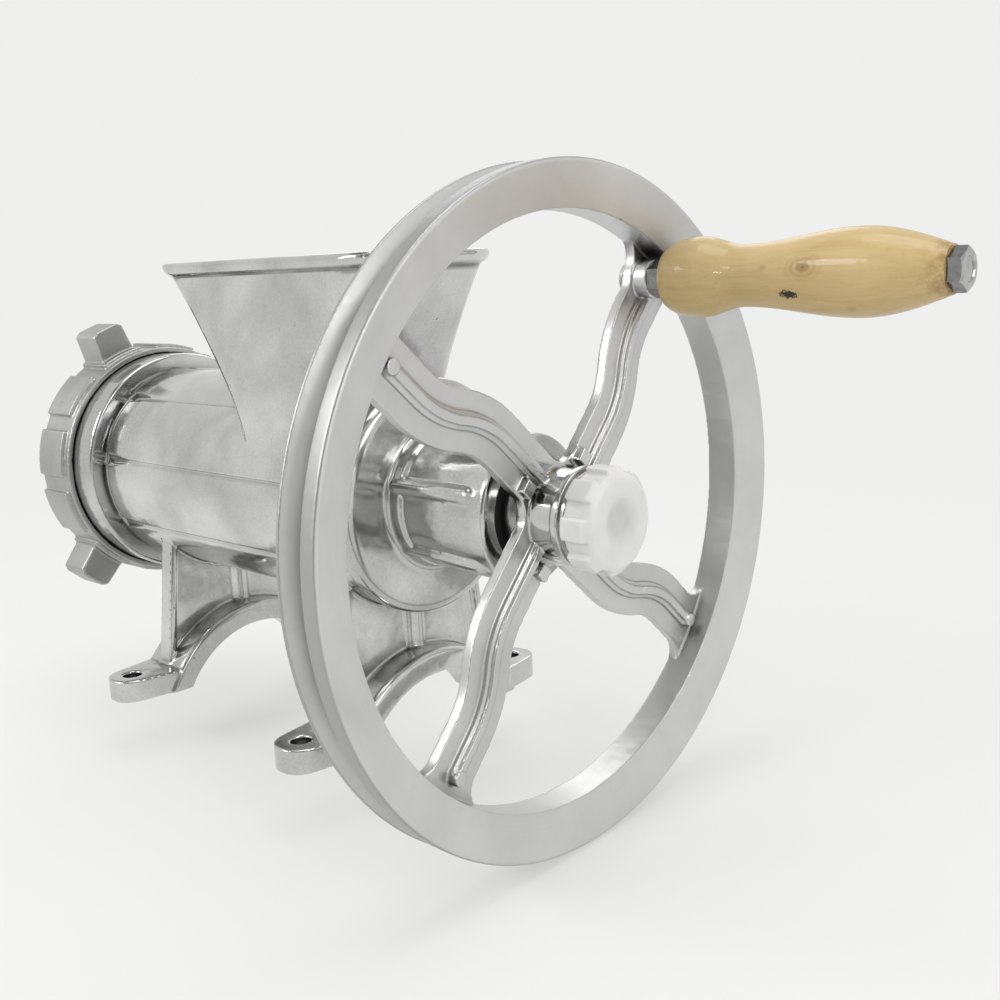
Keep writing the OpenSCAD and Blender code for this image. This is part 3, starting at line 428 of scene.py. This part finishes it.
def cut_thread(piece, pitch, depth, stations, inside):
    """Cuts a screw thread into a finely meshed piece, which runs out over one pitch at both ends."""
    tree = bpy.data.node_groups.new(piece.name + "_thread", "GeometryNodeTree")
    for way in ("INPUT", "OUTPUT"):
        tree.interface.new_socket("Geometry", in_out=way, socket_type="NodeSocketGeometry")
    before = tree.nodes.new("NodeGroupInput").outputs[0]
    after = tree.nodes.new("NodeGroupOutput").inputs[0]
    place = tree.nodes.new("GeometryNodeInputPosition").outputs["Position"]
    radius, turn, along = about_axis(tree, place)
    run = maths(tree, "ADD", maths(tree, "DIVIDE", along, pitch), turn)
    dip = times(tree, maths(tree, "PINGPONG", run, 0.5), 2.0 * depth)
    cut = times(tree, spread(tree, along, 0.0, 1.0, stations[0], stations[0] + pitch),
                spread(tree, along, 1.0, 0.0, stations[1] - pitch, stations[1]))
    cut = times(tree, cut, maths(tree, "GREATER_THAN", radius, inside))
    arm = add(tree, "VectorMath", {0: place, 1: (0.0, 0.0, AXIS_Z)}, operation="SUBTRACT").outputs["Vector"]
    arm = add(tree, "VectorMath", {0: arm, 1: (0.0, 1.0, 1.0)}, operation="MULTIPLY").outputs["Vector"]
    arm = add(tree, "VectorMath", {0: arm}, operation="NORMALIZE").outputs["Vector"]
    inward = times(tree, times(tree, dip, cut), -1.0)
    offset = add(tree, "VectorMath", {0: arm, "Scale": inward}, operation="SCALE").outputs["Vector"]
    move = tree.nodes.new("GeometryNodeSetPosition")
    tree.links.new(before, move.inputs["Geometry"])
    tree.links.new(offset, move.inputs["Offset"])
    tree.links.new(move.outputs["Geometry"], after)
    piece.modifiers.new("thread", "NODES").node_group = tree


def soften(piece, voxel, passes, kept):
    """Rounds the edges of a piece by remeshing it finely, relaxing the result and thinning its flat parts."""
    weld = piece.modifiers.new("weld", "WELD")
    weld.merge_threshold = 0.01 * MM
    remesh = piece.modifiers.new("remesh", "REMESH")
    remesh.mode = "VOXEL"
    remesh.voxel_size = voxel
    remesh.use_smooth_shade = True
    relax = piece.modifiers.new("relax", "SMOOTH")
    relax.factor = 0.5
    relax.iterations = passes
    if piece.name in THREADS:
        cut_thread(piece, *THREADS[piece.name])
    thin = piece.modifiers.new("thin", "DECIMATE")
    thin.ratio = kept


for row in frame["record"]["subparts"]:
    piece = frame["nodes"][row["node"]]
    piece.data.materials.clear()
    piece.data.materials.append(FINISH[row["material_slot"]])
    if row["node"] in SOFTENED:
        soften(piece, *SOFTENED[row["node"]])

# Stage

# Level of the pale background, and the way to the studio's dark side
BACKGROUND = 0.862
DARK_SIDE = (0.64, -0.74, 0.21)


def ray_kinds(tree):
    """Shares of rays that come from the camera, and that come from the camera, a gloss or a clear piece."""
    path = add(tree, "LightPath").outputs
    mirrored = maths(tree, "MAXIMUM", path["Is Glossy Ray"], path["Is Transmission Ray"])
    return path["Is Camera Ray"], maths(tree, "MAXIMUM", path["Is Camera Ray"], mirrored)


def studio_world():
    """A studio with pale walls, darker on one side and in a ring round its bright ceiling."""
    world = bpy.data.worlds.new("studio")
    bpy.context.scene.world = world
    world.use_nodes = True
    tree = world.node_tree
    tree.nodes.clear()
    way = add(tree, "TexCoord").outputs["Generated"]
    up = part(tree, way, "Z")
    share = spread(tree, up, 0.0, 1.0, -1.0, 1.0)
    walls = colours(tree, share, (0.0, grey(BACKGROUND)), (0.60, grey(BACKGROUND)), (0.68, grey(0.80)),
                    (0.78, grey(0.80)), (0.90, grey(0.84)), (0.93, grey(0.18)), (0.965, grey(0.18)),
                    (0.985, grey(0.90)))
    toward = add(tree, "VectorMath", {0: way, 1: DARK_SIDE}, operation="DOT_PRODUCT").outputs["Value"]
    dim = spread(tree, toward, 0.0, 0.75, 0.72, 0.95)
    walls = blend_colour(tree, dim, walls, grey(0.10))
    plain = colours(tree, share, (0.0, grey(0.42)), (0.5, grey(0.50)), (1.0, grey(0.85)))
    by_camera, by_gloss = ray_kinds(tree)
    seen = blend_colour(tree, by_gloss, plain, walls)
    seen = blend_colour(tree, by_camera, seen, grey(BACKGROUND))
    light = add(tree, "Background", {"Color": seen, "Strength": 1.0})
    add(tree, "OutputWorld", {"Surface": light.outputs[0]})


def pale_floor():
    """A round floor under the wheel, which fades into the background."""
    material = bpy.data.materials.new("floor")
    material.use_nodes = True
    tree = material.node_tree
    tree.nodes.clear()
    place = add(tree, "TexCoord").outputs["Object"]
    reach = add(tree, "VectorMath", {0: place}, operation="LENGTH").outputs["Value"]
    fade = add(tree, "MapRange", {"Value": reach, "From Min": 0.25, "From Max": 0.9,
                                  "To Min": 0.55, "To Max": 1.0},
               interpolation_type="SMOOTHSTEP").outputs["Result"]
    fade = times(tree, fade, ray_kinds(tree)[1])
    matte = add(tree, "BsdfDiffuse", {"Color": (*grey(0.76), 1.0)})
    glow = add(tree, "Emission", {"Color": (*grey(BACKGROUND), 1.0), "Strength": 1.0})
    both = add(tree, "MixShader", {0: fade, 1: matte.outputs[0], 2: glow.outputs[0]})
    add(tree, "OutputMaterial", {"Surface": both.outputs[0]})
    bpy.ops.mesh.primitive_circle_add(vertices=96, radius=4.0, fill_type="NGON",
                                      location=(0, 0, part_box("flywheel")[0].z - 1 * MM))
    floor = bpy.context.object
    floor.name = "floor"
    floor.data.materials.append(material)


def lamp(name, place, target, size, power):
    """A rectangular softbox that faces a point."""
    data = bpy.data.lights.new(name, "AREA")
    data.shape = "RECTANGLE"
    data.size, data.size_y = size
    data.energy = power
    made = bpy.data.objects.new(name, data)
    made.location = place
    made.rotation_euler = (Vector(target) - Vector(place)).to_track_quat("-Z", "Y").to_euler()
    bpy.context.scene.collection.objects.link(made)


# The photo's camera: place, heading to the left of +Y, dip, roll, and focal length per frame width
CAMERA_PLACE = Vector((0.44203, -0.34047, 0.20347))
CAMERA_YAW = math.radians(42.74)
CAMERA_DIP = math.radians(11.5)
CAMERA_ROLL = math.radians(-2.51)
CAMERA_FOCUS = 1.1419


def photo_camera():
    """A camera at the photo's place and angle."""
    data = bpy.data.cameras.new("camera")
    data.sensor_width = 36.0
    data.lens = data.sensor_width * CAMERA_FOCUS
    data.clip_start = 0.01
    made = bpy.data.objects.new("camera", data)
    ahead = Vector((-math.sin(CAMERA_YAW) * math.cos(CAMERA_DIP), math.cos(CAMERA_YAW) * math.cos(CAMERA_DIP),
                    -math.sin(CAMERA_DIP)))
    level = Vector((math.cos(CAMERA_YAW), math.sin(CAMERA_YAW), 0.0))
    upright = level.cross(ahead)
    right = level * math.cos(CAMERA_ROLL) + upright * math.sin(CAMERA_ROLL)
    top = upright * math.cos(CAMERA_ROLL) - level * math.sin(CAMERA_ROLL)
    turn = Matrix((right, top, -ahead)).transposed()
    made.matrix_world = Matrix.Translation(CAMERA_PLACE) @ turn.to_4x4()
    bpy.context.scene.collection.objects.link(made)
    bpy.context.scene.camera = made


bpy.context.scene.view_settings.view_transform = "Standard"
studio_world()
pale_floor()

# The lamps face the middle of the grinder. The small one gives sharp glints.
MIDDLE = (0.02, 0.0, 0.11)
lamp("key", (-0.50, -1.20, 0.90), MIDDLE, (0.9, 0.35), 9.0)
lamp("top", (0.30, 0.10, 1.80), MIDDLE, (1.2, 1.2), 10.0)
lamp("side", (1.60, -0.10, 0.80), MIDDLE, (0.7, 0.9), 5.0)
lamp("back", (-1.00, 1.20, 1.20), MIDDLE, (1.2, 0.8), 4.0)
lamp("spark", (0.03, -1.48, 0.60), MIDDLE, (0.06, 0.03), 0.5)
photo_camera()
